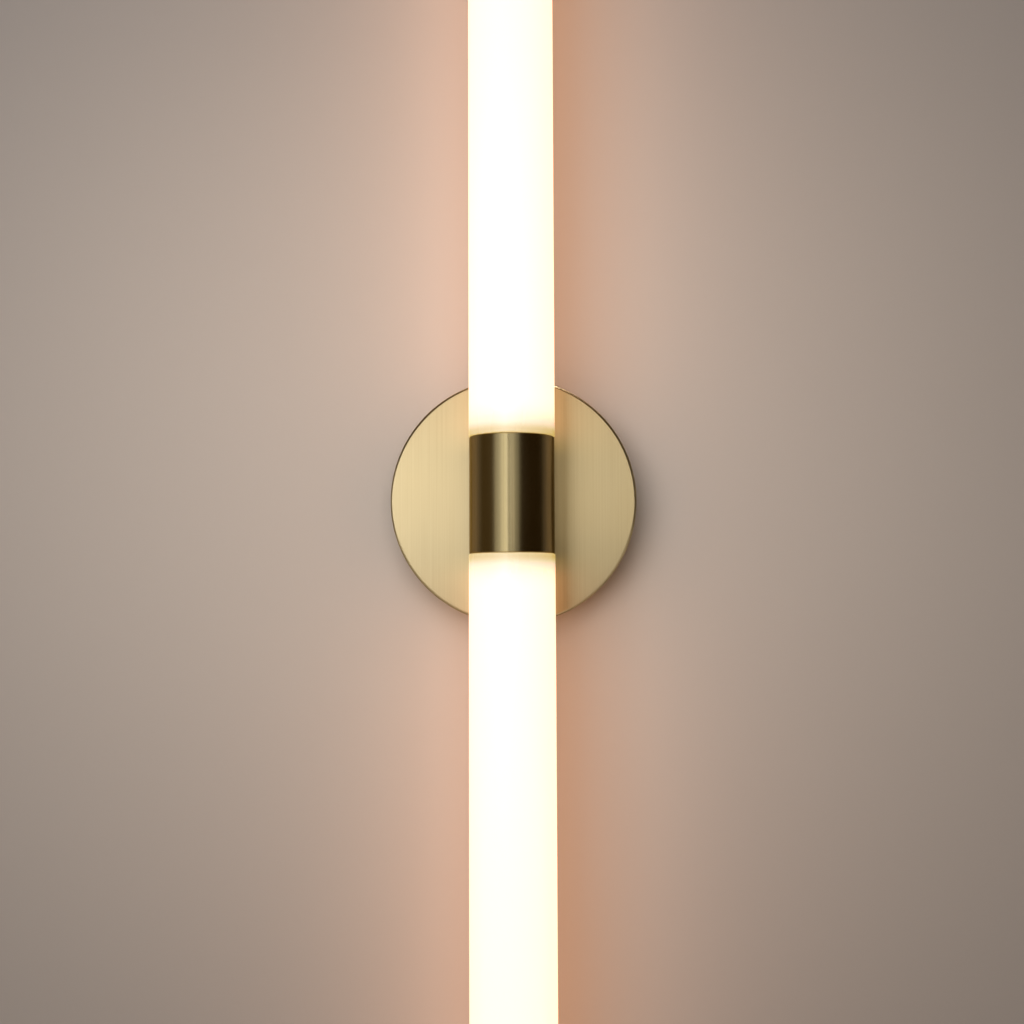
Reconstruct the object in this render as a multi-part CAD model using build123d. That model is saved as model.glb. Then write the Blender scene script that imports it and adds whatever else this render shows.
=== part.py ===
from build123d import *
import os
from math import floor, sqrt

# Tube wall light: two opal tubes end to end, one above and one below a brass collar that a short
# stem holds in front of a round brass canopy on the wall. Sizes are in millimetres.
#
# The part's own frame has +Z up along the tubes, the wall at Y = 0 and the room towards -Y, with the
# origin at the canopy's centre on the wall. Pieces on the wall are drawn in the wall's frame, as seen
# from the room: x to the right, y up, z out from the wall. Pieces of the bar are drawn in a tube's
# frame: y towards the wall, z along the tube away from the middle of the collar. The lower tube's
# pieces are the upper ones turned half round.

# Canopy: the round plate on the wall
canopy_d = 120.0
canopy_depth = 25.0
canopy_wall = 1.2
canopy_face_t = 1.5
canopy_edge_r = 1.2
canopy_inside_r = 0.6
canopy_screw_height = 9.0

# Stem between canopy and collar, and the hollow nipple that clamps them
stem_d = 18.0
stem_length = 10.2
stem_edge = 0.4
stem_pin_d = 2.5
stem_pin_offset = 6.7
stem_pin_length = 5.5
nipple_d = 10.0
nipple_bore = 7.6
nipple_grip = 7.1
nipple_tail = 1.5
nipple_edge = 0.4
nut_across_flats = 14.0
nut_t = 5.0
nut_corner_ratio = 1.14
nut_edge_ratio = 0.14
washer_d = 20.0
washer_t = 1.6
lock_washer_d = 16.0
lock_washer_t = 1.0
lock_notch_depth = 1.6
lock_notch_w = 1.6
lock_notches = 8
nipple_bush_flange_t = 1.0
nipple_bush_reach = 5.0
nipple_bush_bore = 6.2

# Collar: brass sleeve over an aluminium core with a spigot at each end
collar_length = 54.0
collar_wall = 2.15
collar_edge = 0.35
core_wall = 6.0
spigot_length = 8.0
spigot_edge = 0.8
o_ring_t = 2.4
groove_w = 3.0
groove_inset = 4.2

# Opal tubes and their caps; the brass stands back from the tubes' outside by brass_step
tube_d = 40.0
tube_wall = 3.0
tube_length = 316.5
tube_edge_r = 0.8
brass_step = 0.2
cap_flange_t = 6.5
cap_edge = 0.4
cap_plug_length = 10.0
cap_wall = 1.5
cap_floor_t = 3.0

# LED carrier: foot, extrusion, boards and end spacer
foot_inset = 1.2
foot_t = 3.0
foot_screw_inset = 3.0
carrier_w = 13.0
carrier_t = 9.0
carrier_end_gap = 6.0
carrier_corner_r = 0.4
pocket_w = 10.4
pocket_depth = 1.2
flute_w = 3.0
flute_depth = 2.2
board_w = 10.0
board_t = 1.0
board_end_gap = 1.0
chip_w = 2.8
chip_length = 3.5
chip_t = 0.7
chip_pitch = 8.33
chip_margin = 8.0
spacer_wall = 1.6
spacer_socket = 5.0
spacer_floor_t = 1.2
spacer_rim_t = 1.4
spacer_rim_height = 3.0
spacer_arm_w = 1.8
spacer_arms = 4

# Wall bracket and cable bush
bracket_d = 100.0
bracket_t = 1.5
cable_hole_d = 18.0
wall_slot_w = 4.5
wall_slot_length = 12.0
wall_slot_pitch = 60.0
ear_w = 16.0
ear_height = 15.0
ear_bend_r = 1.0
ear_corner_r = 3.0
cable_flange_w = 2.0
cable_flange_t = 1.5
cable_lip_r = 0.7
cable_bore = 12.0

# LED driver
driver_w = 52.0
driver_height = 32.0
driver_t = 17.0
driver_low_edge = 13.0
driver_edge_r = 1.5
lug_reach = 7.0
lug_w = 11.0
lug_t = 2.0
lug_corner_r = 3.0
port_depth = 4.0
port_margin = 0.6

# Terminal block
block_centre_y = -30.0
pole_pitch = 10.4
pole_w = 5.8
pole_length = 17.0
pole_height = 7.6
pole_corner_r = 1.4
tower_d = 5.4
tower_height = 13.0
tower_pitch = 9.0
web_w = 9.0
web_height = 5.0
insert_d = 4.4
insert_bore = 3.2
insert_length = 15.0
insert_height = 4.0

# Earth tag
tag_x = 24.0
tag_y = -14.0
tag_d = 8.4
tag_t = 0.8
tag_neck_w = 3.0
tag_neck_length = 5.2
tag_barrel_d = 3.6
tag_barrel_length = 5.0

# Screws
m2_5 = 2.5
m3 = 3.0
m4 = 4.0
head_ratio = 1.8
head_height_ratio = 0.6
head_round_ratio = 0.45
drive_slot_w = 0.8
canopy_screw_length = 6.0
clamp_screw_length = 7.5
foot_screw_length = 9.0
carrier_screw_length = 12.0
tapped_spare = 2.0

# Leads
led_lead_d = 1.8
led_lead_offset = 1.3
led_lead_lap = 4.0
led_lead_level = 4.6
led_lead_level_step = 2.2
led_port_x = 12.0
led_port_pitch = 2.5
core_bend_r = 5.2
nipple_bend_r = 3.4
port_bend_r = 5.0
supply_lead_d = 2.2
supply_lead_level = 8.0
supply_port_x = -13.0
supply_port_pitch = 4.5
supply_lead_inset = 4.4
supply_lead_straight = 9.0
supply_lead_turn_y = -5.0
supply_bend_r = 9.0
earth_lead_straight = 7.0
earth_lead_drop_r = 8.0
earth_lead_bend_r = 3.0

# Fits, each on the radius or on one face
spigot_gap = 0.3
o_ring_gap = 0.08
cap_gap = 0.1
ear_gap = 0.4
screw_hole_gap = 0.2
thread_gap = 0.05
slip_gap = 0.05
bearing_gap = 0.02

# Sizes that follow
canopy_r = canopy_d / 2
canopy_inner_r = canopy_r - canopy_wall
canopy_inner_z = canopy_depth - canopy_face_t
collar_d = tube_d - 2 * brass_step
cap_d = tube_d - 2 * brass_step
axis_z = canopy_depth + stem_length + collar_d / 2
sleeve_bore = collar_d - 2 * collar_wall
core_d = sleeve_bore - 2 * slip_gap
nipple_end_z = axis_z - core_d / 2 + nipple_grip
nipple_start_z = canopy_inner_z - washer_t - lock_washer_t - nut_t - nipple_tail
tube_bore = tube_d - 2 * tube_wall
tube_start = collar_length / 2
tube_end = tube_start + tube_length
spigot_d = tube_bore - 2 * spigot_gap
spigot_end = tube_start + spigot_length
o_ring_centre_r = tube_bore / 2 - o_ring_gap - o_ring_t / 2
groove_d = 2 * (o_ring_centre_r - o_ring_t / 2 - bearing_gap)
core_bore = groove_d - 2 * core_wall
cap_bore = groove_d - 2 * cap_wall
foot_d = spigot_d - 2 * foot_inset
foot_screw_pitch = groove_d - 2 * foot_screw_inset
carrier_start = spigot_end + foot_t
carrier_end = tube_end - cap_plug_length - carrier_end_gap
board_seat = carrier_t / 2 - pocket_depth
board_start = carrier_start + board_end_gap
board_length = carrier_end - spacer_socket - board_end_gap - board_start
led_lead_lift = board_seat + board_t + led_lead_d / 2 + bearing_gap
ear_face_y = sqrt((canopy_inner_r - ear_gap) ** 2 - (ear_w / 2) ** 2)
driver_centre_y = driver_low_edge + driver_height / 2
lug_screw_x = driver_w / 2 + lug_reach / 2
port_floor_y = driver_low_edge + port_depth
insert_z = bracket_t + insert_height
lead_entry_y = block_centre_y + insert_length / 2 - supply_lead_inset
barrel_z = bracket_t + tag_barrel_d / 2

ON_BASE = (Align.CENTER, Align.CENTER, Align.MIN)
WALL = Plane(origin=(0, 0, 0), x_dir=(1, 0, 0), z_dir=(0, -1, 0)).location
UPPER = Pos(0, -axis_z, 0)
LOWER = Pos(0, -axis_z, 0) * Rot(0, 180, 0)
ALONG_Y = Rot(90, 0, 0)
ALONG_X = Rot(0, 90, 0)
BOTH = (-1, 1)


def bar(diameter, length, start=0.0):
    """Round bar along z."""
    return Pos(0, 0, start) * Cylinder(diameter / 2, length, align=ON_BASE)


def block(width, height, depth, start=0.0):
    """Rectangular block about the z axis."""
    return Pos(0, 0, start) * Box(width, height, depth, align=ON_BASE)


def tapped(thread_d, length, start=0.0):
    """The space of a tapped hole."""
    return bar(thread_d + 2 * thread_gap, length, start)


def cleared(thread_d, length, start=0.0):
    """The space of a clearance hole."""
    return bar(thread_d + 2 * screw_hole_gap, length, start)


def rims(piece):
    """Circular edges, from the lowest up."""
    return piece.edges().filter_by(GeomType.CIRCLE).sort_by(Axis.Z)


def slotted_screw(thread_d, length):
    """Pan-head screw: the head stands on z = 0 and the shank hangs below."""
    head_t = thread_d * head_height_ratio
    head = bar(thread_d * head_ratio, head_t)
    head = fillet(rims(head)[-1], head_t * head_round_ratio)
    slot = Pos(0, 0, head_t) * Box(thread_d * head_ratio, drive_slot_w, head_t)
    return head - slot + bar(thread_d, length, -length)


def o_ring(height):
    """Silicone ring that fills a groove and touches the tube's bore."""
    return Pos(0, 0, height) * Torus(o_ring_centre_r, o_ring_t / 2)


def o_ring_groove(height):
    """What a groove takes out of a round plug."""
    outer = bar(tube_d, groove_w, height - groove_w / 2)
    return outer - bar(groove_d, groove_w, height - groove_w / 2)


def lead(diameter, points, radii):
    """Round lead along straight runs, with an arc at each corner."""
    route = FilletPolyline(*points, radius=radii)
    start = Plane(origin=route @ 0, z_dir=route % 0)
    return sweep(start * Circle(diameter / 2), path=route)


# --- Wall bracket and what stands on it ---
def bracket_ear():
    """Strap bent out at the top of the disc, tapped for a canopy screw."""
    middle_y = ear_face_y - bracket_t / 2
    root = (bracket_d / 2 - ear_w / 2, bracket_t / 2)
    corner = (middle_y, bracket_t / 2)
    route = FilletPolyline(root, corner, (middle_y, ear_height), radius=ear_bend_r + bracket_t / 2)
    section = trace(route, line_width=bracket_t)
    ear = extrude(Plane.YZ * section, ear_w / 2, both=True)
    ear = fillet(ear.edges().filter_by(Axis.Y).group_by(Axis.Z)[-1], ear_corner_r)
    hole = Pos(0, middle_y, canopy_screw_height) * ALONG_Y
    return ear - hole * Cylinder(m4 / 2 + thread_gap, 2 * bracket_t)


def pole_places():
    """The block's three poles, on the bracket's face."""
    return [Pos(n * pole_pitch, block_centre_y, bracket_t) for n in (-1, 0, 1)]


def block_screw_places():
    """The block's two fixing screws, between the poles, at the wall."""
    return [Pos(side * pole_pitch / 2, block_centre_y, 0) for side in BOTH]


def clamp_places():
    """The two clamping screws of each pole, on the bracket's face."""
    return [place * Pos(0, side * tower_pitch / 2, 0) for place in pole_places() for side in BOTH]


def driver_screw_places():
    """The driver's two fixing screws, at the wall."""
    return [Pos(side * lug_screw_x, driver_centre_y, 0) for side in BOTH]


def make_wall_bracket():
    bracket = bar(bracket_d, bracket_t) + bracket_ear() + Rot(0, 0, 180) * bracket_ear()
    slot = extrude(SlotOverall(wall_slot_length, wall_slot_w), bracket_t)
    bracket -= [Pos(side * wall_slot_pitch / 2, 0, 0) * slot for side in BOTH]
    bracket -= bar(cable_hole_d, bracket_t)
    bracket -= [place * tapped(m3, bracket_t) for place in driver_screw_places()]
    bracket -= [place * tapped(m2_5, bracket_t) for place in block_screw_places()]
    return bracket - Pos(tag_x, tag_y, 0) * tapped(m4, bracket_t)


def make_cable_bush():
    """Lining of the cable hole: a flange on the bracket and a barrel down to the wall."""
    barrel = bar(cable_hole_d - 2 * slip_gap, bracket_t)
    flange = bar(cable_hole_d + 2 * cable_flange_w, cable_flange_t, bracket_t)
    flange = fillet(rims(flange)[-1], cable_lip_r)
    return barrel + flange - bar(cable_bore, bracket_t + cable_flange_t)


def make_terminal_block():
    """Three rounded poles on a web, each with a wire way along y and two screw towers."""
    pole = block(pole_w, pole_length, pole_height)
    pole = fillet(pole.edges().filter_by(Axis.Y).group_by(Axis.Z)[-1], pole_corner_r)
    moulding = Pos(0, block_centre_y, bracket_t) * block(2 * pole_pitch, web_w, web_height)
    moulding += [place * pole for place in pole_places()]
    moulding += [place * bar(tower_d, tower_height) for place in clamp_places()]
    wire_way = Pos(0, 0, insert_height) * ALONG_Y * Cylinder(insert_d / 2 + slip_gap, pole_length)
    moulding -= [place * wire_way for place in pole_places()]
    moulding -= [place * cleared(m3, tower_height, insert_height) for place in clamp_places()]
    return moulding - [place * cleared(m2_5, tower_height) for place in block_screw_places()]


def make_terminal_inserts():
    """Three brass tubes, each tapped twice from above."""
    tube = Cylinder(insert_d / 2, insert_length) - Cylinder(insert_bore / 2, insert_length)
    tube = Pos(0, 0, insert_height) * ALONG_Y * tube
    way = Pos(0, 0, insert_height) * tapped(m3, insert_d)
    tube -= [Pos(0, side * tower_pitch / 2, 0) * way for side in BOTH]
    return [place * tube for place in pole_places()]


def make_terminal_screws():
    """Six grub screws whose points bear on the leads."""
    slot = Pos(0, 0, clamp_screw_length) * Box(m3, drive_slot_w, 2 * drive_slot_w)
    screw = bar(m3, clamp_screw_length) - slot
    tip = insert_height + supply_lead_d / 2 + bearing_gap
    return [place * Pos(0, 0, tip) * screw for place in clamp_places()]


def make_terminal_block_screws():
    length = bracket_t + web_height
    return [place * Pos(0, 0, length) * slotted_screw(m2_5, length) for place in block_screw_places()]


def make_earth_tag():
    """Ring under the earth screw, with a crimped barrel towards the terminal block."""
    barrel = Pos(-tag_neck_length - tag_barrel_length / 2, 0, tag_barrel_d / 2) * ALONG_X
    tag = bar(tag_d, tag_t) + Pos(-tag_neck_length / 2, 0, 0) * block(tag_neck_length, tag_neck_w, tag_t)
    tag += barrel * Cylinder(tag_barrel_d / 2, tag_barrel_length)
    tag -= barrel * Cylinder(supply_lead_d / 2 + bearing_gap, tag_barrel_length)
    return Pos(tag_x, tag_y, bracket_t) * (tag - cleared(m4, tag_t))


def make_earth_screw():
    length = bracket_t + tag_t
    return Pos(tag_x, tag_y, length) * slotted_screw(m4, length)


def make_earth_lead():
    """From the right-hand pole to the tag's barrel."""
    barrel_x = tag_x - tag_neck_length
    return lead(
        supply_lead_d,
        (
            (pole_pitch, lead_entry_y, insert_z),
            (pole_pitch, lead_entry_y + earth_lead_straight, insert_z),
            (pole_pitch, tag_y, barrel_z),
            (barrel_x, tag_y, barrel_z),
        ),
        (earth_lead_drop_r, earth_lead_bend_r),
    )


def make_led_driver():
    """Closed moulded case with a lug at each side and a mouth below for each set of leads."""
    case = block(driver_w, driver_height, driver_t)
    lid_edges = case.faces().sort_by(Axis.Z)[-1].edges()
    case = fillet(case.edges().filter_by(Axis.Z) + lid_edges, driver_edge_r)
    lugs = block(driver_w + 2 * lug_reach, lug_w, lug_t)
    case += fillet(lugs.edges().filter_by(Axis.Z), lug_corner_r)
    case = Pos(0, driver_centre_y, bracket_t) * case
    case -= [place * cleared(m3, 2 * lug_t) for place in driver_screw_places()]
    return case - led_port() - supply_port()


def port(first_x, last_x, low_z, high_z, lead_d):
    """The space of a mouth in the driver's lower face, round the leads that enter it."""
    border = lead_d + 2 * port_margin
    width = last_x - first_x + border
    centre = Pos((first_x + last_x) / 2, driver_low_edge, (low_z + high_z) / 2)
    return centre * Box(width, 2 * port_depth, high_z - low_z + border)


def led_port():
    last_x = led_port_x + 3 * led_port_pitch
    return port(led_port_x, last_x, led_lead_level, led_lead_level + led_lead_level_step, led_lead_d)


def supply_port():
    last_x = supply_port_x + supply_port_pitch
    return port(supply_port_x, last_x, supply_lead_level, supply_lead_level, supply_lead_d)


def make_driver_screws():
    length = bracket_t + lug_t
    return [place * Pos(0, 0, length) * slotted_screw(m3, length) for place in driver_screw_places()]


def make_input_leads():
    """Two leads from the left-hand poles to the driver."""

    def route(pole_x, port_x):
        return lead(
            supply_lead_d,
            (
                (pole_x, lead_entry_y, insert_z),
                (pole_x, lead_entry_y + supply_lead_straight, insert_z),
                (port_x, supply_lead_turn_y, supply_lead_level),
                (port_x, port_floor_y, supply_lead_level),
            ),
            (supply_bend_r, supply_bend_r),
        )

    return [route(-pole_pitch, supply_port_x), route(0.0, supply_port_x + supply_port_pitch)]


# --- Canopy and stem ---
def make_canopy():
    """Pan with a rounded edge, open to the wall."""
    pan = bar(canopy_d, canopy_depth)
    pan = fillet(rims(pan)[-1], canopy_edge_r)
    hollow = bar(2 * canopy_inner_r, canopy_inner_z)
    pan -= fillet(rims(hollow)[-1], canopy_inside_r)
    pan -= cleared(nipple_d, canopy_depth)
    pan -= Pos(0, stem_pin_offset, 0) * bar(stem_pin_d + 2 * slip_gap, canopy_depth)
    return pan - Pos(0, 0, canopy_screw_height) * ALONG_Y * Cylinder(m4 / 2 + screw_hole_gap, canopy_d)


def make_canopy_screws():
    """Two screws through the canopy's rim, above and below, into the bracket's ears."""
    screw = Pos(0, canopy_r + bearing_gap, canopy_screw_height) * Rot(-90, 0, 0)
    screw *= slotted_screw(m4, canopy_screw_length)
    return [screw, Rot(0, 0, 180) * screw]


def make_stem():
    """Turned spacer, hollowed at its front to sit on the round collar."""
    stem = bar(stem_d, axis_z - canopy_depth, canopy_depth)
    stem = chamfer(rims(stem)[0], stem_edge)
    stem -= Pos(0, 0, axis_z) * ALONG_Y * Cylinder(collar_d / 2 + bearing_gap, 2 * stem_d)
    stem -= cleared(nipple_d, axis_z)
    pin_hole = bar(stem_pin_d + 2 * slip_gap, stem_pin_length + slip_gap, canopy_inner_z)
    return stem - Pos(0, stem_pin_offset, 0) * pin_hole


def make_stem_pin():
    return Pos(0, stem_pin_offset, 0) * bar(stem_pin_d, stem_pin_length, canopy_inner_z)


def make_stem_nipple():
    nipple = bar(nipple_d, nipple_end_z - nipple_start_z, nipple_start_z)
    nipple = chamfer([rims(nipple)[0], rims(nipple)[-1]], nipple_edge)
    return nipple - bar(nipple_bore, nipple_end_z)


def make_stem_washer():
    start = canopy_inner_z - washer_t
    return bar(washer_d, washer_t, start) - cleared(nipple_d, washer_t, start)


def make_stem_lock_washer():
    """Washer with teeth cut inwards round its bore."""
    start = canopy_inner_z - washer_t - lock_washer_t
    washer = bar(lock_washer_d, lock_washer_t, start) - cleared(nipple_d, lock_washer_t, start)
    bore_r = nipple_d / 2 + screw_hole_gap
    notch = block(2 * lock_notch_depth, lock_notch_w, lock_washer_t, start)
    return washer - [place * notch for place in PolarLocations(bore_r, lock_notches)]


def make_stem_nut():
    """Hexagon nut with turned-down corners."""
    start = canopy_inner_z - washer_t - lock_washer_t - nut_t
    prism = extrude(RegularPolygon(nut_across_flats / 2, 6, major_radius=False), nut_t)
    blank = bar(nut_across_flats * nut_corner_ratio, nut_t)
    blank = chamfer([rims(blank)[0], rims(blank)[-1]], nut_t * nut_edge_ratio)
    return Pos(0, 0, start) * (prism & blank) - tapped(nipple_d, nut_t, start)


def make_nipple_bush():
    """Smooth lining at the nipple's rear mouth."""
    bush = bar(nipple_d, nipple_bush_flange_t, nipple_start_z - nipple_bush_flange_t)
    bush += bar(nipple_bore - 2 * slip_gap, nipple_bush_reach, nipple_start_z)
    return bush - bar(nipple_bush_bore, nipple_end_z)


# --- Collar, in the upper tube's frame ---
def make_collar_sleeve():
    sleeve = bar(collar_d, collar_length, -tube_start)
    sleeve = chamfer([rims(sleeve)[0], rims(sleeve)[-1]], collar_edge)
    sleeve -= bar(sleeve_bore, collar_length, -tube_start)
    return sleeve - Rot(-90, 0, 0) * cleared(nipple_d, collar_d)


def make_collar_core():
    """Round heart with a spigot and an O-ring groove at each end, bored along z for the leads."""
    spigots = bar(spigot_d, 2 * spigot_end, -spigot_end)
    spigots = chamfer([rims(spigots)[0], rims(spigots)[-1]], spigot_edge)
    core = bar(core_d, collar_length, -tube_start) + spigots
    core -= bar(core_bore, 2 * spigot_end, -spigot_end)
    depth = foot_screw_length - foot_t + tapped_spare
    for end in (Pos(0, 0, 0), Rot(180, 0, 0)):
        core -= end * o_ring_groove(tube_start + groove_inset)
        core -= [
            end * Pos(side * foot_screw_pitch / 2, 0, 0) * tapped(m3, depth, spigot_end - depth)
            for side in BOTH
        ]
    return core - Rot(-90, 0, 0) * tapped(nipple_d, core_d)


# --- The bar, in a tube's frame ---
def make_carrier_foot():
    """Disc on the spigot's end, holed for its screws, the carrier's screw and two leads."""
    foot = bar(foot_d, foot_t, spigot_end)
    foot -= cleared(m3, foot_t, spigot_end)
    foot -= [
        Pos(side * foot_screw_pitch / 2, 0, 0) * cleared(m3, foot_t, spigot_end) for side in BOTH
    ]
    way = bar(led_lead_d + 2 * screw_hole_gap, foot_t, spigot_end)
    return foot - [Pos(side * led_lead_offset, side * led_lead_lift, 0) * way for side in BOTH]


def make_foot_screws():
    screw = slotted_screw(m3, foot_screw_length)
    return [Pos(side * foot_screw_pitch / 2, 0, carrier_start) * screw for side in BOTH]


def make_carrier_screw():
    return Pos(0, 0, spigot_end) * Rot(180, 0, 0) * slotted_screw(m3, carrier_screw_length)


def make_led_carrier():
    """Extrusion with a board pocket front and back, a flute at each side and a screw port."""
    profile = Rectangle(carrier_w, carrier_t)
    profile = fillet(profile.vertices(), carrier_corner_r)
    profile -= [Pos(0, side * carrier_t / 2) * Rectangle(pocket_w, 2 * pocket_depth) for side in BOTH]
    profile -= [Pos(side * carrier_w / 2, 0) * Rectangle(2 * flute_depth, flute_w) for side in BOTH]
    profile -= Circle(m3 / 2 + thread_gap)
    return Pos(0, 0, carrier_start) * extrude(profile, carrier_end - carrier_start)


def make_led_board():
    """Board with a row of LED packages on it, facing the room."""
    board = Pos(0, -board_seat - board_t / 2, 0) * block(board_w, board_t, board_length, board_start)
    count = floor((board_length - 2 * chip_margin) / chip_pitch) + 1
    first = board_start + (board_length - (count - 1) * chip_pitch - chip_length) / 2
    chip_y = -board_seat - board_t - chip_t / 2
    board += [
        Pos(0, chip_y, 0) * block(chip_w, chip_t, chip_length, first + n * chip_pitch)
        for n in range(count)
    ]
    return board


def make_end_spacer():
    """Star that caps the carrier's end and reaches the tube's bore with a thin rim."""
    start = carrier_end - spacer_socket
    rim = bar(spigot_d, spacer_rim_height, start)
    rim -= bar(spigot_d - 2 * spacer_rim_t, spacer_rim_height, start)
    arm_length = spigot_d / 2 - spacer_rim_t / 2
    arm = Pos(arm_length / 2, 0, 0) * block(arm_length, spacer_arm_w, spacer_rim_height, start)
    places = PolarLocations(0, spacer_arms, start_angle=180 / spacer_arms)
    star = rim + [place * arm for place in places]
    wall_w = carrier_w + 2 * (slip_gap + spacer_wall)
    wall_t = carrier_t + 2 * (slip_gap + spacer_wall)
    cup = block(wall_w, wall_t, spacer_socket + spacer_floor_t, start)
    cup = fillet(cup.edges().filter_by(Axis.Z), spacer_wall)
    socket = block(carrier_w + 2 * slip_gap, carrier_t + 2 * slip_gap, spacer_socket, start)
    return star + cup - socket


def make_diffuser():
    """Opal tube with polished, rounded ends."""
    tube = bar(tube_d, tube_length, tube_start)
    tube = fillet([rims(tube)[0], rims(tube)[-1]], tube_edge_r)
    return tube - bar(tube_bore, tube_length, tube_start)


def make_end_cap():
    """Turned cap: a flange on the tube's end and a grooved plug in its bore, hollow inside."""
    flange = bar(cap_d, cap_flange_t, tube_end)
    flange = chamfer([rims(flange)[0], rims(flange)[-1]], cap_edge)
    plug_start = tube_end - cap_plug_length
    cap = flange + bar(tube_bore - 2 * cap_gap, cap_plug_length, plug_start)
    cap -= o_ring_groove(tube_end - cap_plug_length / 2)
    return cap - bar(cap_bore, cap_plug_length + cap_flange_t - cap_floor_t, plug_start)


# --- Leads from the driver to the boards, in the wall's frame ---
def led_lead(up, front, number):
    """One lead: along a board, through the foot, the core and the nipple, and into the driver."""
    x = led_lead_offset * -up * front
    y = led_lead_offset * up
    board_z = axis_z + front * led_lead_lift
    level = led_lead_level + (led_lead_level_step if x > 0 else 0)
    port_x = led_port_x + number * led_port_pitch
    return lead(
        led_lead_d,
        (
            (x, up * (board_start + led_lead_lap), board_z),
            (x, y, board_z),
            (x, y, level),
            (port_x, y, level),
            (port_x, port_floor_y, level),
        ),
        (core_bend_r, nipple_bend_r, port_bend_r),
    )


def make_upper_leads():
    return [led_lead(1, -1, 0), led_lead(1, 1, 2)]


def make_lower_leads():
    return [led_lead(-1, 1, 1), led_lead(-1, -1, 3)]


def save(name, place, piece):
    """Write one node, of one solid or of several alike."""
    pieces = piece if isinstance(piece, list) else [piece]
    solids = [solid for item in pieces for solid in (place * item).solids()]
    export_step(solids[0] if len(solids) == 1 else Compound(solids), f"parts/{name}.step")
    print(name, len(solids), "solids", round(sum(solid.volume for solid in solids)), "mm3")


def main():
    os.makedirs("parts", exist_ok=True)
    on_wall = {
        "wall_bracket": make_wall_bracket(),
        "cable_bush": make_cable_bush(),
        "terminal_block": make_terminal_block(),
        "terminal_inserts": make_terminal_inserts(),
        "terminal_screws": make_terminal_screws(),
        "terminal_block_screws": make_terminal_block_screws(),
        "earth_tag": make_earth_tag(),
        "earth_screw": make_earth_screw(),
        "earth_lead": make_earth_lead(),
        "led_driver": make_led_driver(),
        "driver_screws": make_driver_screws(),
        "input_leads": make_input_leads(),
        "canopy": make_canopy(),
        "canopy_screws": make_canopy_screws(),
        "stem": make_stem(),
        "stem_pin": make_stem_pin(),
        "stem_nipple": make_stem_nipple(),
        "stem_washer": make_stem_washer(),
        "stem_lock_washer": make_stem_lock_washer(),
        "stem_nut": make_stem_nut(),
        "nipple_bush": make_nipple_bush(),
        "upper_leads": make_upper_leads(),
        "lower_leads": make_lower_leads(),
    }
    for name, piece in on_wall.items():
        save(name, WALL, piece)
    save("collar_sleeve", UPPER, make_collar_sleeve())
    save("collar_core", UPPER, make_collar_core())
    board = make_led_board()
    in_tube = {
        "tube_o_ring": o_ring(tube_start + groove_inset),
        "carrier_foot": make_carrier_foot(),
        "foot_screws": make_foot_screws(),
        "carrier_screw": make_carrier_screw(),
        "led_carrier": make_led_carrier(),
        "led_board_front": board,
        "led_board_back": Rot(0, 0, 180) * board,
        "end_spacer": make_end_spacer(),
        "diffuser": make_diffuser(),
        "end_cap": make_end_cap(),
        "cap_o_ring": o_ring(tube_end - cap_plug_length / 2),
    }
    for name, piece in in_tube.items():
        save(f"upper_{name}", UPPER, piece)
        save(f"lower_{name}", LOWER, piece)


main()
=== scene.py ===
# %% [markdown]
# # Dressing a tube wall light
#
# The light is two opal tubes that a short brass collar joins end to end, held off a round brass
# canopy on the wall. Its 47 pieces come ready made from the CAD frame, each in its true place, so
# this lesson is about what they are made of: brushed and lacquered brass, lit acrylic, anodised
# aluminium, LED boards and moulded plastics, and about the soft light they are seen in.

# %% Load the frame
import math

import bpy
from mathutils import Matrix, Vector


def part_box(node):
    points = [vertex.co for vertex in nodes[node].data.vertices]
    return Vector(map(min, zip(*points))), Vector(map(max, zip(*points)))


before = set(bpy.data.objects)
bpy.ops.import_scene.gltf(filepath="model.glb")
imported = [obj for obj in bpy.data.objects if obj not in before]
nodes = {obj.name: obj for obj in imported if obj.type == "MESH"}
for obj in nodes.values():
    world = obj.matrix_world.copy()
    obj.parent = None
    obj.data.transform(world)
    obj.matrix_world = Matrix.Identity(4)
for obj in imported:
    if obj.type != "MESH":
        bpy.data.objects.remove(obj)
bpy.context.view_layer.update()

# %% [markdown]
# ## A way to write shader maths
#
# A material is a network of nodes, and dozens of small Math nodes are tedious to place one by one.
# A Wire stands for one output socket. Adding or multiplying Wires in Python adds the Math nodes and
# returns the Wire of the result, so a mask reads as the formula it is. All other nodes come from
# one method, which sets what the node is before it fills or links its sockets.


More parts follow.
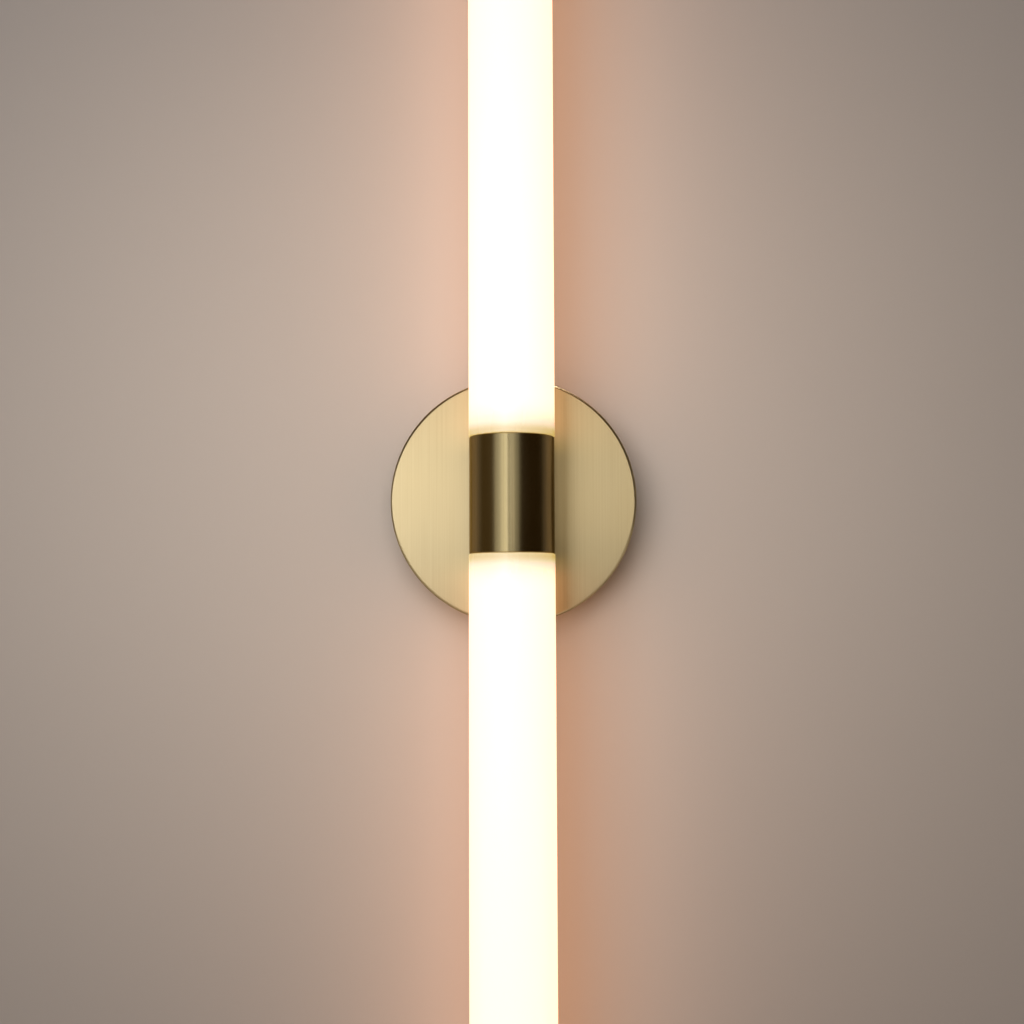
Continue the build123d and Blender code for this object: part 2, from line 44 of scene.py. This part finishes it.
# %% A wire that can be reckoned with
class Wire:
    """One output socket in a node tree."""

    def __init__(self, tree, socket=None):
        self.tree = tree
        self.socket = socket

    def node(self, kind, settings=None, inputs=None, output=0):
        """Adds a node: first its settings, then the values or wires of its sockets.

        What comes back is the wire of one output, or a list of wires for a tuple of outputs."""
        made = self.tree.nodes.new("ShaderNode" + kind)
        for name, value in (settings or {}).items():
            if name == "stops":
                ramp = made.color_ramp
                while len(ramp.elements) < len(value):
                    ramp.elements.new(0.5)
                for element, (position, colour) in zip(ramp.elements, value):
                    element.position = position
                    element.color = (*colour, 1)
            else:
                setattr(made, name, value)
        for name, value in (inputs or {}).items():
            if isinstance(value, Wire):
                self.tree.links.new(value.socket, made.inputs[name])
            else:
                made.inputs[name].default_value = value
        if isinstance(output, tuple):
            return [Wire(self.tree, made.outputs[name]) for name in output]
        return Wire(self.tree, made.outputs[output] if len(made.outputs) else None)

    def maths(self, operation, first, second=0.0, third=0.0):
        return self.node("Math", {"operation": operation}, {0: first, 1: second, 2: third})

    def __add__(self, other):
        return self.maths("ADD", self, other)

    def __sub__(self, other):
        return self.maths("SUBTRACT", self, other)

    def __rsub__(self, other):
        return self.maths("SUBTRACT", other, self)

    def __mul__(self, other):
        return self.maths("MULTIPLY", self, other)

    def __abs__(self):
        return self.maths("ABSOLUTE", self)

    __radd__ = __add__
    __rmul__ = __mul__


# %% [markdown]
# ## Words for what surfaces have in common
#
# Most finishes need the same few things: where on the piece a point lies, an uneven tone, a grain
# that runs one way, and a blend between two colours. Each gets a short function here. Positions are
# object coordinates in metres, so a grain keeps its real size on every piece and stays put when a
# tube is pulled off.


# %% Places, noise and blends
def start(name):
    """A new material, and a bare wire to build its nodes from."""
    material = bpy.data.materials.new(name)
    material.use_nodes = True
    material.node_tree.nodes.clear()
    return material, Wire(material.node_tree)


def place(w):
    """Where a point of the piece lies, in metres."""
    return w.node("TexCoord", output="Object")


def axes(w, here):
    """The x, y and z of a place."""
    return w.node("SeparateXYZ", inputs={0: here}, output=("X", "Y", "Z"))


def noise(w, here, per_metre, detail=2.0):
    """Uneven tone from 0 to 1; per_metre gives the patches along x, y and z."""
    scaled = w.node("VectorMath", {"operation": "MULTIPLY"}, {0: here, 1: per_metre})
    return w.node("TexNoise", inputs={"Vector": scaled, "Scale": 1.0, "Detail": detail})


def swing(tone, reach):
    """A tone from 0 to 1, carried over to half of reach below and above zero."""
    return (tone - 0.5) * reach


def span(w, value, low, high, out_low=0.0, out_high=1.0):
    """Value from low to high, carried over to out_low to out_high and held at both ends."""
    return w.node("MapRange", {"clamp": True}, {0: value, 1: low, 2: high, 3: out_low, 4: out_high})


def blend(w, factor, first, second):
    """Colour between two others; 6 and 7 are the Mix node's two colour sockets."""
    colours = [c if isinstance(c, Wire) else (*c, 1) for c in (first, second)]
    inputs = {0: factor, 6: colours[0], 7: colours[1]}
    return w.node("Mix", {"data_type": "RGBA"}, inputs, output=2)


def bump(w, height, depth):
    """Surface normal of a relief that is depth metres from its lowest to its highest."""
    return w.node("Bump", inputs={"Strength": 1.0, "Distance": depth, "Height": height})


# %% [markdown]
# ## Putting a finish on a piece
#
# Each finish ends in one Principled shader, whose sockets are named as in Blender with underscores
# for the spaces. A finish is then given to CAD nodes by name, and what has one is noted down, so
# that a piece that was forgotten can be told at the end.


# %% Shader and hand-out
finished = set()


def surface(w, **sockets):
    """The shader itself, joined to the material's output; a colour is three numbers."""
    inputs = {}
    for name, value in sockets.items():
        is_colour = isinstance(value, tuple) and len(value) == 3
        inputs[name.replace("_", " ")] = (*value, 1) if is_colour else value
    shader = w.node("BsdfPrincipled", inputs=inputs)
    w.node("OutputMaterial", inputs={"Surface": shader})


def give(material, *names):
    """Puts a finish on CAD nodes."""
    for name in names:
        slots = nodes[name].data.materials
        slots.clear()
        slots.append(material)
    finished.update(names)
    print(material.name, "on", len(names), "pieces")


# %% [markdown]
# ## Brushed brass
#
# The canopy, stem, collar and caps are brass that was drawn along an abrasive belt and then
# lacquered. Up close that is thousands of fine upright scratches. They could be an image, but an
# image has edges and one fixed size, so here a noise is squeezed to a tenth of a millimetre across
# and left centimetres long. From a step away the scratches are finer than the picture can show, and
# what is left of them is that reflections are smeared sideways: the Anisotropic socket does that.
# Specular Tint colours what is mirrored at a slant, where lacquered brass stays yellow instead of
# turning white. A slower noise varies how dull the lacquer looks.


# %% Brass
scratch_grain, streak_grain, patch_grain = (9000, 9000, 22), (1400, 1400, 9), (28, 28, 19)


def brushed_brass(name, tone, deep, edge, dull, brush_spread, grain_depth):
    """Tone and deep are the brass's two colours, and edge is its tint at a slant."""
    material, w = start(name)
    here = place(w)
    hair = noise(w, here, scratch_grain, detail=3.0)
    streak = noise(w, here, streak_grain)
    patch = noise(w, here, patch_grain, detail=3.0)
    worn = span(w, streak * 0.6 + patch * 0.4, 0.35, 0.68)
    surface(
        w,
        Base_Color=blend(w, worn, deep, tone),
        Metallic=1.0,
        Specular_Tint=edge,
        Anisotropic=brush_spread,
        Roughness=dull + swing(hair, 0.10) + swing(patch, 0.08),
        Normal=bump(w, hair * 0.5 + streak * 0.5, grain_depth),
    )
    return material


canopy_brass = brushed_brass(
    "brass_upright_brush",
    tone=(0.465, 0.363, 0.200), deep=(0.425, 0.326, 0.172), edge=(1.0, 0.9, 0.7),
    dull=0.31, brush_spread=0.85, grain_depth=4.5e-6,
)
bar_brass = brushed_brass(
    "brass_satin",
    tone=(0.34, 0.262, 0.125), deep=(0.295, 0.220, 0.098), edge=(0.55, 0.48, 0.38),
    dull=0.18, brush_spread=0.7, grain_depth=3e-6,
)
give(canopy_brass, "canopy")
give(bar_brass, "collar_sleeve", "stem", "canopy_screws", "upper_end_cap", "lower_end_cap")

# %% [markdown]
# ## Lit opal acrylic
#
# Opal tube scatters light so well that the LEDs inside cannot be told apart, and it looks as bright
# at its edge as in its middle. Next to the collar it is dimmer and warmer, because there the tube
# sits over a spigot that no LED lights. Scattering could be worked out for real, but that takes
# thousands of samples, so the surface itself glows, and a colour ramp along its first 16 mm makes
# the dim end. Its base colour is a mid grey, so that the room adds little to the glow. A clear coat
# over it mirrors a little of the room, as the polished skin does.

# %% How the glow begins at the collar
dim_length, glow_strength = 0.016, 2.0
warm_end = [
    (0.000, (0.302, 0.204, 0.045)),
    (0.044, (0.298, 0.201, 0.040)),
    (0.105, (0.296, 0.196, 0.036)),
    (0.163, (0.312, 0.223, 0.062)),
    (0.225, (0.362, 0.273, 0.125)),
    (0.281, (0.425, 0.310, 0.180)),
    (0.344, (0.518, 0.350, 0.218)),
    (0.430, (0.655, 0.397, 0.242)),
    (0.580, (0.850, 0.488, 0.292)),
    (0.750, (0.950, 0.540, 0.330)),
    (1.000, (1.000, 0.567, 0.360)),
]
tube_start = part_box("upper_diffuser")[0].z
print("tube begins", round(1000 * tube_start, 1), "mm from the collar's middle")

# %% Opal
opal, w = start("opal_lit")
here = place(w)
_, _, z = axes(w, here)
uneven = noise(w, here, (60, 60, 14))
past_collar = abs(z) - tube_start + swing(uneven, 0.0004)
glow = w.node("ValToRGB", {"stops": warm_end}, {0: span(w, past_collar, 0.0, dim_length)})
surface(
    w,
    Base_Color=blend(w, uneven, (0.39, 0.39, 0.405), (0.41, 0.41, 0.425)),
    Roughness=span(w, uneven, 0.3, 0.7, 0.22, 0.30),
    Emission_Color=glow,
    Emission_Strength=glow_strength,
    Coat_Weight=0.3,
    Coat_Roughness=0.08,
)
give(opal, "upper_diffuser", "lower_diffuser")

# %% [markdown]
# ## Aluminium
#
# The collar's core and the carriers' feet are turned, so their tool marks run round them. The
# carriers are extruded and anodised, so theirs run along. Two materials could be built for that,
# but the same noise does both: what changes is the direction in which it is squeezed.


# %% Aluminium
def aluminium(name, tone, grain, dull):
    material, w = start(name)
    here = place(w)
    marks = noise(w, here, grain)
    cloud = noise(w, here, (90, 90, 40))
    surface(
        w,
        Base_Color=blend(w, cloud, tone, tuple(0.88 * c for c in tone)),
        Metallic=1.0,
        Roughness=dull + swing(marks, 0.12),
        Normal=bump(w, marks, 4e-6),
    )
    return material


give(aluminium("aluminium_turned", (0.80, 0.80, 0.81), grain=(60, 60, 6000), dull=0.28),
     "collar_core", "upper_carrier_foot", "lower_carrier_foot")
give(aluminium("aluminium_anodised", (0.74, 0.75, 0.76), grain=(5000, 5000, 12), dull=0.38),
     "upper_led_carrier", "lower_led_carrier")

# %% [markdown]
# ## LED boards
#
# Each board is a strip with a row of LED packages, a solder pad at each end of a package, and white
# solder mask over the rest. CAD has the packages as raised blocks. What is printed or plated has no
# height to model. An image could show it, but would have to be made and lined up for each board, so
# it is painted by position: the distance along the board is wrapped at the packages' pitch, which
# gives the distance from the nearest one, and masks on that and on the distance across draw every
# package at once. The phosphor glows, as the light is on.

# %% Where the packages lie
board_low, board_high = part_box("upper_led_board_front")
pitch, package_length, package_width, margin = 0.00833, 0.0035, 0.0028, 0.008
board_length = board_high.z - board_low.z
count = math.floor((board_length - 2 * margin) / pitch) + 1
first = board_low.z + (board_length - (count - 1) * pitch) / 2
print(count, "LED packages on a board of", round(1000 * board_length), "mm")

# %% Masks for phosphor, package, pads and tracks
half_length, half_width = package_length / 2, package_width / 2
rim_along, rim_across, seam = 0.0005, 0.0004, 0.0001
pad_reach, pad_half_width = 0.0008, 0.0011
track_from_middle, track_half_width = 0.0032, 0.0006

led_board, w = start("led_board_white")
here = place(w)
x, _, z = axes(w, here)
along = abs(w.maths("WRAP", abs(z) - first, pitch / 2, -pitch / 2))
across = abs(x)


def inside(w, value, limit, edge=0.00012):
    """1 where value is under limit, falling to 0 over edge."""
    return span(w, value, limit - edge, limit + edge, 1.0, 0.0)


phosphor = inside(w, along, half_length - rim_along) * inside(w, across, half_width - rim_across)
package = inside(w, along, half_length + seam) * inside(w, across, half_width + seam)
pad = inside(w, along, half_length + pad_reach) * inside(w, across, pad_half_width) * (1 - package)
track = inside(w, abs(across - track_from_middle), track_half_width)

# %% Board
mask_tone = blend(w, noise(w, here, (200, 200, 60)), (0.80, 0.81, 0.79), (0.86, 0.86, 0.84))
mask_tone = blend(w, track * 0.5, mask_tone, (0.70, 0.71, 0.68))
colour = blend(w, pad, mask_tone, (0.66, 0.65, 0.63))
colour = blend(w, package, colour, (0.86, 0.86, 0.83))
colour = blend(w, phosphor, colour, (0.90, 0.68, 0.12))
surface(
    w,
    Base_Color=colour,
    Metallic=pad,
    Roughness=0.42 - pad * 0.14 + track * 0.06,
    Normal=bump(w, track * 0.3 + pad * 0.7, 3e-5),
    Emission_Color=blend(w, phosphor, (0.0, 0.0, 0.0), (1.0, 0.72, 0.36)),
    Emission_Strength=3.0,
)
sides, faces = ("upper", "lower"), ("front", "back")
give(led_board, *[f"{side}_led_board_{face}" for side in sides for face in faces])

# %% [markdown]
# ## Zinc, steel and bright brass
#
# The bracket is pressed from zinc-plated sheet, which shows a faint crystal pattern and a blue or
# straw tinge. Screws are plated too, but small and shiny, and the nipple, nut and clamping tubes
# are plain machined brass. All are bare metal with crystals, clouds of tinge and fine scratches, so
# one function makes them, and the size of the patches tells sheet from screws.


# %% Small metal
def plated(name, tone, tinge, dull, patches):
    """Patches is the number of crystals to a metre."""
    material, w = start(name)
    here = place(w)
    crystal = w.node("TexVoronoi", {"feature": "F1"}, {"Vector": here, "Scale": patches})
    cloud = noise(w, here, (patches / 3,) * 3, detail=3.0)
    scratch = noise(w, here, (700, 3000, 700))
    surface(
        w,
        Base_Color=blend(w, span(w, cloud + crystal * 0.3, 0.4, 0.9), tone, tinge),
        Metallic=1.0,
        Roughness=dull + swing(scratch, 0.14) + crystal * 0.06,
        Normal=bump(w, scratch, 4e-6),
    )
    return material


give(plated("zinc_sheet", (0.62, 0.64, 0.67), (0.70, 0.68, 0.60), dull=0.34, patches=260.0),
     "wall_bracket")
give(plated("zinc_screws", (0.68, 0.69, 0.70), (0.72, 0.69, 0.60), dull=0.26, patches=900.0),
     "terminal_screws", "terminal_block_screws", "earth_screw", "driver_screws",
     "upper_foot_screws", "lower_foot_screws", "upper_carrier_screw", "lower_carrier_screw")
give(plated("machined_brass", (0.80, 0.62, 0.30), (0.74, 0.52, 0.24), dull=0.22, patches=700.0),
     "terminal_inserts", "stem_nipple", "stem_nut")
give(plated("tinned_copper", (0.76, 0.74, 0.70), (0.72, 0.62, 0.52), dull=0.30, patches=800.0),
     "earth_tag")
give(plated("zinc_small", (0.66, 0.67, 0.69), (0.70, 0.68, 0.62), dull=0.28, patches=700.0),
     "stem_washer", "stem_lock_washer", "stem_pin")

# %% [markdown]
# ## Plastics and silicone
#
# Moulded plastic is never quite even: the mould is lightly eroded, which leaves a fine orange peel,
# and thick places show a slightly different tone. Flat grey or white would do from afar, but these
# pieces are seen close up once a cover is off, so each has its own peel. Nylon is a little
# translucent, so its white is warm, and silicone has a soft skin that looks dusty.


# %% Plastics
def moulded(name, tone, shade, dull, peel, depth):
    """Peel is the number of grains to a metre, and depth their height in metres."""
    material, w = start(name)
    here = place(w)
    grain = noise(w, here, (peel,) * 3)
    cloud = noise(w, here, (55, 55, 55), detail=3.0)
    surface(
        w,
        Base_Color=blend(w, cloud, tone, shade),
        Roughness=dull + swing(grain, 0.12) + swing(cloud, 0.06),
        Normal=bump(w, grain, depth),
    )
    return material


give(moulded("driver_case", (0.80, 0.80, 0.78), (0.74, 0.74, 0.72),
             dull=0.48, peel=1600, depth=2.5e-5),
     "led_driver")
give(moulded("white_nylon", (0.80, 0.78, 0.72), (0.72, 0.70, 0.63),
             dull=0.40, peel=1200, depth=1.5e-5),
     "terminal_block")
give(moulded("black_nylon", (0.030, 0.030, 0.032), (0.045, 0.044, 0.042),
             dull=0.44, peel=1500, depth=2e-5),
     "cable_bush", "nipple_bush")
give(moulded("spacer_white", (0.86, 0.86, 0.84), (0.78, 0.78, 0.75),
             dull=0.42, peel=1500, depth=1.5e-5),
     "upper_end_spacer", "lower_end_spacer")
give(moulded("silicone_clear", (0.72, 0.71, 0.68), (0.62, 0.61, 0.58),
             dull=0.52, peel=2500, depth=8e-6),
     *[f"{side}_{ring}_o_ring" for side in sides for ring in ("tube", "cap")])

# %% [markdown]
# ## Leads
#
# The sleeves are told apart by colour. One CAD node holds a pair of leads. Its faces could be
# sorted into two material slots, but it is simpler to choose the colour by which of the two a point
# lies on: a mask finds the side of a plane that runs between them. The earth sleeve is green with a
# yellow stripe, which a slanted mask draws along it.


# %% Planes between the leads
between_inputs, parting_edge = -0.00945, 0.0002
turn_slope, turn_start, turn_limit, turn_edge = 0.545, -0.0075, -0.0057, 0.0001
stripe_slant, stripe_shift, stripe_half_width, stripe_edge = 0.35, 0.0045, 0.0009, 0.0001


def by_side(w, x, y, z):
    """1 on the supply lead that lies further to the right."""
    return span(w, x, between_inputs - parting_edge, between_inputs + parting_edge)


def by_run(w, x, y, z):
    """1 on the lead at x > 0, which is further off the wall where both turn to the driver."""
    turn = w.maths("MINIMUM", x * turn_slope + turn_start, turn_limit)
    to_the_right = span(w, x, -parting_edge, parting_edge)
    return to_the_right * span(w, turn - y, -turn_edge, turn_edge)


def striped(w, x, y, z):
    """0 on a stripe along the earth lead, and 1 beside it."""
    across = abs(y + x * stripe_slant + stripe_shift)
    return span(w, across, stripe_half_width, stripe_half_width + stripe_edge)


# %% Sleeves
def sleeve(name, tones, parting):
    """Tones are the colours where the parting mask is 0 and where it is 1."""
    material, w = start(name)
    here = place(w)
    scuff = noise(w, here, (900, 900, 900), detail=3.0)
    surface(
        w,
        Base_Color=blend(w, parting(w, *axes(w, here)), *tones),
        Roughness=0.34 + swing(scuff, 0.16),
        Normal=bump(w, scuff, 8e-6),
        Coat_Weight=0.3,
        Coat_Roughness=0.2,
    )
    return material


brown, blue = (0.20, 0.07, 0.03), (0.03, 0.08, 0.36)
black, red = (0.03, 0.03, 0.03), (0.50, 0.03, 0.025)
yellow, green = (0.78, 0.66, 0.05), (0.06, 0.30, 0.06)
give(sleeve("supply_sleeves", (brown, blue), by_side), "input_leads")
give(sleeve("led_sleeves", (black, red), by_run), "upper_leads", "lower_leads")
give(sleeve("earth_sleeve", (yellow, green), striped), "earth_lead")
print("still without a finish:", sorted(set(nodes) - finished))

# %% [markdown]
# ## Camera
#
# The photograph was taken square on from close by and a little below the collar, which shows in
# three things: the collar's ends are arcs that bow away from its middle, the tubes grow slightly
# wider towards the bottom of the picture, and the plate looks smaller than it is beside them. A
# camera could be placed by eye until these agree. The numbers here come from a least-squares fit of
# those edges, which is quicker to trust.


# %% Camera
def stand(name, data):
    """An object in the scene that holds a mesh, a lamp or a camera."""
    made = bpy.data.objects.new(name, data)
    bpy.context.scene.collection.objects.link(made)
    return made


focal_px, frame_px, sensor_mm = 1256.9, 1024, 36.0
eye = Vector((0.0131, -0.6353, -0.0460))
pitch_up, turn, roll = math.radians(3.78), math.radians(-1.291), math.radians(-0.201)
ahead = Vector((math.sin(turn), math.cos(turn), 0))
level = Vector((math.cos(turn), -math.sin(turn), 0))
forward = math.cos(pitch_up) * ahead + math.sin(pitch_up) * Vector((0, 0, 1))
upright = level.cross(forward)
right = math.cos(roll) * level + math.sin(roll) * upright
up = -math.sin(roll) * level + math.cos(roll) * upright
camera = stand("camera", bpy.data.cameras.new("camera"))
camera.matrix_world = Matrix((right, up, -forward)).transposed().to_4x4()
camera.location = eye
camera.data.sensor_width = sensor_mm
camera.data.lens = focal_px * sensor_mm / frame_px
bpy.context.scene.camera = camera
print("lens", round(camera.data.lens, 1), "mm")

# %% [markdown]
# ## Wall and floor
#
# The light hangs on a plain painted wall over a plain floor. Both are matt and one-sided: from
# behind they turn transparent, so a view from there still shows the object. A plain sheet would
# cover the bracket, so the wall has a round hole that the canopy hides from the front. The floor
# throws no light back, so it can be pale and leave the wall the slow fall-off that it has from the
# window.


# %% Paint and sheets
def backdrop(name, tone, shade):
    """Matt paint that shows from its front only."""
    material, w = start(name)
    here = place(w)
    roller = noise(w, here, (420, 420, 420), detail=3.0)
    cloud = noise(w, here, (3, 3, 3))
    paint = w.node("BsdfPrincipled", inputs={
        "Base Color": blend(w, cloud, tone, shade),
        "Roughness": 0.72 + swing(roller, 0.1),
        "Normal": bump(w, roller, 2e-5),
    })
    behind = w.node("NewGeometry", output="Backfacing")
    mixed = w.node("MixShader", inputs={0: behind, 1: paint, 2: w.node("BsdfTransparent")})
    w.node("OutputMaterial", inputs={"Surface": mixed})
    return material


def sheet(name, points, faces, material):
    """A flat backdrop, which is stage and no part of the light."""
    mesh = bpy.data.meshes.new(name)
    mesh.from_pydata(points, [], faces)
    mesh.materials.append(material)
    made = stand(name, mesh)
    return made


# %% Wall and floor
wall_half_width, floor_level, wall_top = 2.6, -0.95, 2.0
hole_radius, wall_gap, hole_steps = 0.057, 0.0002, 96

wall_sides, wall_ends = (wall_half_width, -wall_half_width), (floor_level, wall_top)
corners = [math.atan2(end, side) % math.tau for side in wall_sides for end in wall_ends]
angles = sorted([math.tau * n / hole_steps for n in range(hole_steps)] + corners)
steps = len(angles)
ring, rim = [], []
for angle in angles:
    c, s = math.cos(angle), math.sin(angle)
    to_side = wall_half_width / abs(c) if c else math.inf
    to_edge = (wall_top if s > 0 else -floor_level) / abs(s) if s else math.inf
    reach = min(to_side, to_edge)
    ring.append((hole_radius * c, wall_gap, hole_radius * s))
    rim.append((reach * c, wall_gap, reach * s))
wall_faces = [(steps + n, steps + (n + 1) % steps, (n + 1) % steps, n) for n in range(steps)]
wall_paint = backdrop("wall_paint", (0.67, 0.56, 0.465), (0.645, 0.54, 0.447))
sheet("wall", ring + rim, wall_faces, wall_paint)

floor_corners = [(x, y, floor_level) for x, y in ((-6, -9), (6, -9), (6, 6), (-6, 6))]
floor_paint = backdrop("floor_paint", (0.62, 0.60, 0.57), (0.60, 0.58, 0.55))
floor = sheet("floor", floor_corners, [(0, 1, 2, 3)], floor_paint)
floor.visible_diffuse = False
print("wall of", len(wall_faces), "faces, floor", -floor_level, "m below the light")

# %% [markdown]
# ## The window
#
# The collar is a curved mirror, so it shows what stands in the room: an upright band that brightens
# in steps from the left, falls in two steps past its middle, and leaves the right side dark. One
# large lamp would give a band of even tone, so the window is five panes side by side, each as
# bright as its part of the band. The flat canopy mirrors the same window through its brushed grain,
# and it is brighter than these panes can make it without flooding the wall. Light linking solves
# that: a second set of panes lights the canopy alone, and the first set leaves it out.


# %% Lamps
def lamp(name, where, width, height, radiance, tint, aim=(0, -0.03, 0), mirrored=True, spread=180):
    """Soft rectangular lamp turned towards a point; metal doesn't show one that isn't mirrored."""
    data = bpy.data.lights.new(name, "AREA")
    data.shape, data.size, data.size_y = "RECTANGLE", width, height
    data.energy = radiance * math.pi * width * height
    data.color, data.spread = tint, math.radians(spread)
    made = stand(name, data)
    made.location = where
    made.rotation_euler = (Vector(aim) - Vector(where)).to_track_quat("-Z", "Y").to_euler()
    made.visible_camera = False
    made.visible_glossy = mirrored
    print(name, round(data.energy, 1), "W")
    return made


def link_to_canopy(made, state):
    """INCLUDE lets a lamp light the canopy alone, and EXCLUDE everything but the canopy."""
    group = bpy.data.collections.new(made.name + "_lit")
    group.objects.link(nodes["canopy"])
    group.collection_objects[0].light_linking.link_state = state
    made.light_linking.receiver_collection = group


# %% Window panes
window_y, window_reach, window_top = -1.45, 1.375, 0.36
cool, mild = (0.86, 0.91, 1.0), (1.0, 0.94, 0.80)
room_panes = [  # name, from and to which angle, lower edge, radiance, tint
    ("outer_pane", -45.5, -31, -0.16, 1.0, cool),
    ("middle_pane", -31, -20, -0.16, 1.9, cool),
    ("inner_pane", -20, -9, -0.16, 2.8, cool),
    ("near_pane", -5, 9, -0.01, 1.45, cool),
    ("last_pane", 9, 21, -0.01, 0.6, cool),
]
canopy_panes = [
    ("outer_sheen", -45.5, -31, -0.12, 1.8, cool),
    ("middle_sheen", -31, -20, -0.12, 3.4, cool),
    ("inner_sheen", -20, -9, -0.12, 5.1, cool),
    ("near_sheen", -5, 9, 0.015, 1.85, mild),
    ("last_sheen", 9, 21, 0.015, 0.75, mild),
]
for state, panes in (("EXCLUDE", room_panes), ("INCLUDE", canopy_panes)):
    for name, from_angle, to_angle, low, radiance, tint in panes:
        edges = [window_reach * math.tan(math.radians(angle)) for angle in (from_angle, to_angle)]
        middle, width, height = sum(edges) / 2, edges[1] - edges[0], window_top - low
        where = (middle, window_y, low + height / 2)
        pane = lamp(name, where, width, height, radiance, tint, aim=(middle, 0, where[2]))
        link_to_canopy(pane, state)

# %% [markdown]
# ## The rest of the light
#
# On the wall the glow of the tubes is warm, and a paler light lies over it: a fill close by makes
# the bright middle, and a cool lamp from above tints the top. Both could show as spots in the
# metal, so both are kept from being mirrored. A dim warm lamp on the left stands for a lit side
# wall. A lamp behind the wall and a sun overhead are for the other views, of the back and of the
# floor.

# %% Fill, side, rear and overhead
neutral, sky_blue = (0.92, 0.9, 0.88), (0.35, 0.62, 1.0)
candle, daylight = (1.0, 0.75, 0.4), (1.0, 0.98, 0.95)
lamp("fill", (-0.063, -0.41, 0.075), width=0.35, height=0.24, radiance=2.75, tint=neutral,
     mirrored=False, spread=150)
lamp("sky", (-0.5, -1.3, 1.3), width=1.2, height=1.2, radiance=0.9, tint=sky_blue,
     aim=(0, 0, 0.35), mirrored=False)
lamp("left_wall", (-1.75, -1.07, 0.0), width=2.06, height=1.8, radiance=0.09, tint=candle,
     aim=(0, -1.07, 0))
lamp("rear", (0.9, 1.6, 0.7), width=1.6, height=1.6, radiance=1.2, tint=daylight)

sun = bpy.data.lights.new("overhead", "SUN")
sun.energy, sun.angle, sun.color = 2.2, math.radians(14), daylight
stand("overhead", sun).location = (0, 0, 2)
print("overhead sun", round(sun.energy, 1), "W per square metre")

# %% [markdown]
# ## The room around
#
# What the metal mirrors beside the window is a dim brown room. One grey world would brighten the
# collar's dark side, so the world is dim in front of the wall and pale behind it, and the camera
# sees it pale everywhere, which gives the views from behind a plain background.

# %% World
dim_room, pale_room = (0.038, 0.023, 0.008), (0.72, 0.71, 0.69)
world = bpy.data.worlds.new("room")
world.use_nodes = True
world.node_tree.nodes.clear()
bpy.context.scene.world = world

room = Wire(world.node_tree)
seen = room.node("LightPath", output="Is Camera Ray")
direction = room.node("TexCoord", output="Generated")
toward_rear = room.node("SeparateXYZ", inputs={0: direction}, output="Y")
pale = room.maths("MAXIMUM", seen, span(room, toward_rear, -0.02, 0.1))
tone = blend(room, pale, dim_room, pale_room)
backlight = room.node("Background", inputs={"Color": tone, "Strength": 1.0})
room.node("OutputWorld", inputs={"Surface": backlight})
bpy.context.scene.view_settings.view_transform = "Standard"
print("world is pale behind the wall and dim in front of it")
